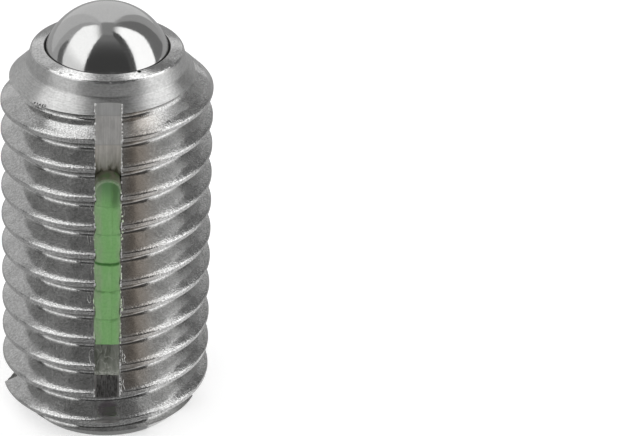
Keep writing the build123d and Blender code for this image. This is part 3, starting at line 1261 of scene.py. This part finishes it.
class PLUNGER_PT_pieces(bpy.types.Panel):
    """Lists the plunger's pieces and its stage, with their settings, in the sidebar"""

    bl_idname = "PLUNGER_PT_pieces"
    bl_label = "Spring plunger"
    bl_space_type = "VIEW_3D"
    bl_region_type = "UI"
    bl_category = "Plunger"

    def draw(self, context):
        for operator in OPERATORS:
            self.layout.operator(operator.bl_idname)
        for name, group in PROPERTY_GROUPS.items():
            box = self.layout.box()
            box.label(text=group.bl_rna.name)
            for setting in group.bl_rna.properties:
                if setting.identifier not in ("rna_type", "name"):
                    box.prop(getattr(context.scene, name), setting.identifier)


# Stage. Lengths are in metres

# Distances of the studio's walls in front of, behind and beside the plunger, and of its ceiling
FRONT = -0.44
BACK = 0.8
SIDE = 0.4
TOP = 2.6
# Height of the pale skirt under the dark flag in front
SKIRT_TOP = 0.1

# Edges of the bands on each side wall, as seen in the thread: height, then how far back the panel's
# front edge, its back edge and the end of the darker gap behind it stand
LEFT_EDGES = (
    (0.0, -0.44, -0.01, 0.21),
    (0.15, -0.44, 0.01, 0.22),
    (0.31, -0.44, 0.09, 0.27),
    (0.61, -0.44, 0.23, 0.36),
    (1.3, -0.44, 0.33, 0.46),
    (2.6, -0.44, 0.42, 0.55),
)
RIGHT_EDGES = (
    (0.0, -0.31, 0.03, 0.38),
    (0.18, -0.28, 0.085, 0.39),
    (0.3, -0.26, 0.13, 0.42),
    (0.85, -0.16, 0.18, 0.46),
    (1.3, -0.10, 0.24, 0.52),
    (2.6, -0.04, 0.32, 0.62),
)
# Each side wall: its place, its edges, and the brightness of its bands from the front backwards,
# low down and high up
SIDE_WALLS = {
    "left": (-SIDE, LEFT_EDGES, ((0.1, None), (1.42, 0.5), (0.46, 0.5), (0.6, 0.55))),
    "right": (SIDE, RIGHT_EDGES, ((0.1, None), (1.55, 0.5), (0.2, 0.3), (0.4, 0.42))),
}
BANDS = ("front_flag", "panel", "gap", "back")

# Corners of a narrow dark flag behind the left panel's lower end: how far back, then how high
LEFT_SLIT = (
    (-0.04, 0.0), (-0.02, 0.05), (0.02, 0.12), (0.05, 0.2), (0.07, 0.27), (0.11, 0.24),
    (0.12, 0.15), (0.11, 0.08), (0.06, 0.0),
)

# Dark sectors of the floor, which only show in the metal: name, first and last angle from the front
# in degrees, nearest and farthest distance, brightness
FLOOR_FLAGS = (
    ("floor_flag_left", -112, -44, 0.0005, 0.44, 0.43),
    ("floor_flag_front", -44, 34, 0.0005, 0.12, 0.3),
    ("floor_flag_far", -44, 34, 0.12, 0.44, 0.8),
    ("floor_flag_right", 34, 112, 0.0005, 0.44, 0.8),
    ("floor_flag_back", 112, 248, 0.0005, 0.8, 0.42),
)


def place_camera(scene, stage):
    """Puts the camera where the photograph was taken from."""
    data = bpy.data.cameras.new("photo_camera")
    data.sensor_width = 36
    data.sensor_fit = "HORIZONTAL"
    data.lens = stage.lens
    data.clip_start = 0.01
    camera = bpy.data.objects.new("photo_camera", data)
    scene.collection.objects.link(camera)
    outward = Vector((0, -cos(stage.elevation), sin(stage.elevation)))
    seat = Vector((0, 0, stage.target_height)) + stage.distance * outward
    towards_axis = Matrix.Rotation(pi / 2 - stage.elevation, 4, "X")
    aimed = (
        Matrix.Rotation(stage.aside, 4, "Y") @ Matrix.Rotation(stage.above, 4, "X")
        @ Matrix.Rotation(stage.roll, 4, "Z")
    )
    camera.matrix_world = Matrix.Translation(seat) @ towards_axis @ aimed
    scene.camera = camera


def studio_card(name, corners, brightness, top_brightness=None, fade=(0.9, 2.4)):
    """A flat card that lights the plunger and shows in its metal, but not to the camera.

    A card with a top brightness fades towards it between the two heights of its fade.
    """
    bm = bmesh.new()
    bm.faces.new([bm.verts.new(Vector(corner) * MM) for corner in corners])
    material = bpy.data.materials.new(name)
    material.use_nodes = True
    material.node_tree.nodes.clear()
    card = Recipe(material.node_tree)
    if top_brightness is not None:
        height = card.split(card.node("ShaderNodeTexCoord").outputs["Object"])[2]
        brightness = height.ramp(*fade, brightness, top_brightness)
    glow = card.node("ShaderNodeEmission")
    card.put(brightness, glow.inputs["Strength"])
    card.put(glow.outputs[0], card.node("ShaderNodeOutputMaterial").inputs[0])
    piece = finish_mesh(bm, name, [material])
    piece.visible_camera = False
    return piece


def across_studio(first_back, first_height, last_back, last_height):
    """Corners of a card from one side wall to the other, between two (back, height) edges."""
    return (
        (-SIDE, first_back, first_height), (SIDE, first_back, first_height),
        (SIDE, last_back, last_height), (-SIDE, last_back, last_height),
    )


def floor_sector(first, last, near, far):
    """Corners of a flat sector just over the floor, between two angles counted from the front."""
    lie = 0.00001
    steps = 6
    angles = [first + (last - first) * step / steps for step in range(steps + 1)]
    inner = [(near * sin(angle), -near * cos(angle), lie) for angle in angles]
    outer = [(far * sin(angle), -far * cos(angle), lie) for angle in reversed(angles)]
    return inner + outer


def light_world(scene):
    """A white surround, a little darker as a light than it looks."""
    world = bpy.data.worlds.new("studio")
    scene.world = world
    world.use_nodes = True
    sky = Recipe(world.node_tree)
    background = sky.tree.nodes["Background"]
    strength = sky.shown_to_eye().ramp(0.0, 1.0, 0.8, 1.0, smooth=False)
    sky.put(strength, background.inputs["Strength"])
    sky.put((1, 1, 1), background.inputs["Color"])


def lay_floor():
    """A pale floor that glows faintly to the camera, so that it looks almost white."""
    half_width, glow_strength = 1.5, 0.45
    bm = bmesh.new()
    bmesh.ops.create_grid(bm, x_segments=1, y_segments=1, size=half_width * MM)
    material = bpy.data.materials.new("pale_floor")
    material.use_nodes = True
    material.cycles.emission_sampling = "NONE"
    paint = Recipe(material.node_tree)
    shader = paint.tree.nodes["Principled BSDF"]
    for name, value in (
        ("Base Color", (0.85, 0.85, 0.85)), ("Roughness", 0.9), ("Specular IOR Level", 0.0),
        ("Emission Color", (1, 1, 1)), ("Emission Strength", paint.shown_to_eye() * glow_strength),
    ):
        paint.put(value, shader.inputs[name])
    floor = finish_mesh(bm, "floor", [material])


def light_studio(scene):
    """A plain pale studio: a floor, bright side panels, dark flags in front and a grey back."""
    scene.view_settings.view_transform = "Standard"
    light_world(scene)
    lay_floor()
    for side, (wall, edges, levels) in SIDE_WALLS.items():
        for number, (band, (low, high)) in enumerate(zip(BANDS, levels)):
            rows = [(height, (FRONT, *across, BACK)) for height, *across in edges]
            up = [(wall, places[number], height) for height, places in rows]
            down = [(wall, places[number + 1], height) for height, places in reversed(rows)]
            # The left panel reaches all the way to the front
            if up[0][1] != down[-1][1]:
                studio_card(f"{side}_{band}", up + down, low, high)
    studio_card("front_skirt", across_studio(FRONT, 0, FRONT, SKIRT_TOP), 0.35)
    studio_card(
        "front_flag", across_studio(FRONT, SKIRT_TOP, FRONT, TOP), 0.065, 0.22, fade=(0.3, 1.5)
    )
    # Two cards that hang just inside the left wall
    studio_card("left_slit", [(0.002 - SIDE, back, height) for back, height in LEFT_SLIT], 0.16)
    lower = [(0.001 - SIDE, edge[2], edge[0]) for edge in LEFT_EDGES[:3]]
    lower += [(0.001 - SIDE, FRONT, lower[-1][2]), (0.001 - SIDE, FRONT, 0)]
    studio_card("left_low", lower, 0.95, 1.42, fade=(0.1, 0.3))
    studio_card("back_card", across_studio(BACK, 0, BACK, TOP), 0.7)
    studio_card("top_card", across_studio(FRONT, TOP, BACK, TOP), 0.3)
    for name, first, last, near, far, brightness in FLOOR_FLAGS:
        sector = floor_sector(radians(first), radians(last), near, far)
        flag = studio_card(name, sector, brightness)
        flag.visible_diffuse = False
        flag.visible_shadow = False
    fill = bpy.data.lights.new("front_fill", "AREA")
    fill.size = 0.3
    fill.energy = 0.6
    lamp = bpy.data.objects.new("front_fill", fill)
    tilt = Matrix.Rotation(radians(50), 4, "X")
    lamp.matrix_world = Matrix.Translation((0, -0.3, 0.25)) @ tilt
    lamp.visible_glossy = False
    lamp.visible_camera = False
    scene.collection.objects.link(lamp)


PROPERTY_GROUPS = {
    "plunger_thread": PlungerThread,
    "plunger_blank": PlungerBlank,
    "plunger_cuts": PlungerCuts,
    "plunger_strip": PlungerStrip,
    "plunger_spring": PlungerSpring,
    "plunger_colours": PlungerColours,
    "plunger_stage": PlungerStage,
}
OPERATORS = (
    PLUNGER_OT_body, PLUNGER_OT_ball, PLUNGER_OT_spring, PLUNGER_OT_strip, PLUNGER_OT_stage,
)


def register():
    for name, group in PROPERTY_GROUPS.items():
        bpy.utils.register_class(group)
        setattr(bpy.types.Scene, name, PointerProperty(type=group))
    for operator in OPERATORS:
        bpy.utils.register_class(operator)
    bpy.utils.register_class(PLUNGER_PT_pieces)


def unregister():
    bpy.utils.unregister_class(PLUNGER_PT_pieces)
    for operator in reversed(OPERATORS):
        bpy.utils.unregister_class(operator)
    for name, group in PROPERTY_GROUPS.items():
        delattr(bpy.types.Scene, name)
        bpy.utils.unregister_class(group)


def main():
    register()
    bpy.ops.plunger.body()
    bpy.ops.plunger.ball()
    bpy.ops.plunger.spring()
    bpy.ops.plunger.strip()
    bpy.ops.plunger.stage()


if __name__ == "__main__":
    main()
